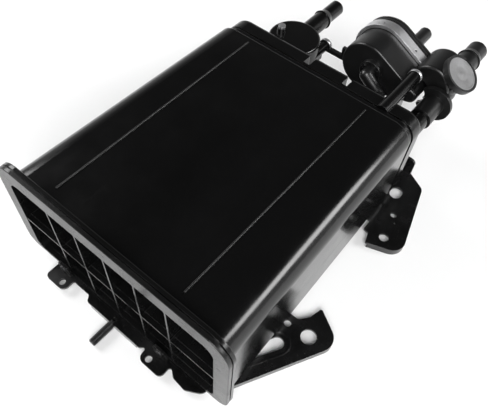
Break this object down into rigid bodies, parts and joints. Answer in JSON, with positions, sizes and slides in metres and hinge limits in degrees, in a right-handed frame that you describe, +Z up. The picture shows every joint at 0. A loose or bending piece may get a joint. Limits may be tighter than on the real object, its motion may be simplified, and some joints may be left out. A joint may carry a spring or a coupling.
{
  "type": "fuel vapour charcoal canister",
  "caption": "Flat black charcoal canister for fuel vapour, with a ribbed end cover, purge barb, leak-check valve, fresh-air drum and steel mounting brackets.",
  "frame": {"origin": "middle of the part's footprint, on the surface that the hems of the steel brackets rest on", "axes": "+Y from the ribbed end cover towards the hose ports, +X towards the side with the two bracket ears, +Z up"},
  "size_m": [0.2866, 0.4578, 0.1305],
  "materials": {
    "case_plastic": "smooth glossy black moulding with faint flow marks and scuffs",
    "cover_plastic": "semi-gloss black moulding",
    "valve_plastic": "satin black moulding with fine grain",
    "cap_plastic": "satin pale grey",
    "foam": "open-cell dark foam",
    "charcoal": "packed pellets",
    "felt": "needled felt",
    "retainer_plastic": "satin",
    "bracket_steel": "black electrocoat, satin",
    "stud_steel": "dark phosphate",
    "zinc_steel": "bright zinc",
    "spring_steel": "drawn wire",
    "seal_rubber": "matte",
    "poppet_plastic": "natural moulding"
  },
  "bodies": {
    "canister": {"case": "case_plastic", "end_cover": "cover_plastic", "carbon_bed_left": "charcoal", "carbon_bed_mid": "charcoal", "carbon_bed_right": "charcoal", "far_felt_left": "felt", "far_felt_mid": "felt", "far_felt_right": "felt", "bed_spring_left": "spring_steel", "bed_spring_mid": "spring_steel", "bed_spring_right": "spring_steel", "purge_dome": "case_plastic", "purge_seal": "seal_rubber", "dome_pin": "zinc_steel", "valve_body": "valve_plastic", "valve_cover": "valve_plastic", "valve_clip": "zinc_steel", "diaphragm": "seal_rubber", "poppet_spring": "spring_steel", "valve_elbow": "valve_plastic", "elbow_seal": "seal_rubber", "vent_housing": "valve_plastic", "vent_cap": "cap_plastic", "vent_filter": "foam", "bracket_front": "bracket_steel", "bracket_near": "bracket_steel", "bracket_far": "bracket_steel", "mounting_stud": "stud_steel", "post_screws": "zinc_steel", "bracket_screws": "zinc_steel", "clip_rivets": "stud_steel"},
    "poppet": {"poppet": "poppet_plastic"},
    "press_left": {"retainer_left": "retainer_plastic", "near_felt_left": "felt"},
    "press_mid": {"retainer_mid": "retainer_plastic", "near_felt_mid": "felt"},
    "press_right": {"retainer_right": "retainer_plastic", "near_felt_right": "felt"}
  },
  "joints": [
    {"name": "retainer_slide_left", "type": "slide", "parent": "canister", "child": "press_left", "axis": [0, -1, 0], "range_m": [0, 0.004], "stiffness_N_per_m": 800, "springref_m": -0.008, "deforming": ["bed_spring_left"]},
    {"name": "retainer_slide_mid", "type": "slide", "parent": "canister", "child": "press_mid", "axis": [0, -1, 0], "range_m": [0, 0.004], "stiffness_N_per_m": 1600, "springref_m": -0.008, "deforming": ["bed_spring_mid"]},
    {"name": "retainer_slide_right", "type": "slide", "parent": "canister", "child": "press_right", "axis": [0, -1, 0], "range_m": [0, 0.004], "stiffness_N_per_m": 800, "springref_m": -0.008, "deforming": ["bed_spring_right"]},
    {"name": "poppet_lift", "type": "slide", "parent": "canister", "child": "poppet", "axis": [0, 1, 0], "range_m": [0, 0.0035], "stiffness_N_per_m": 120, "springref_m": -0.006, "deforming": ["poppet_spring", "diaphragm"]}
  ]
}
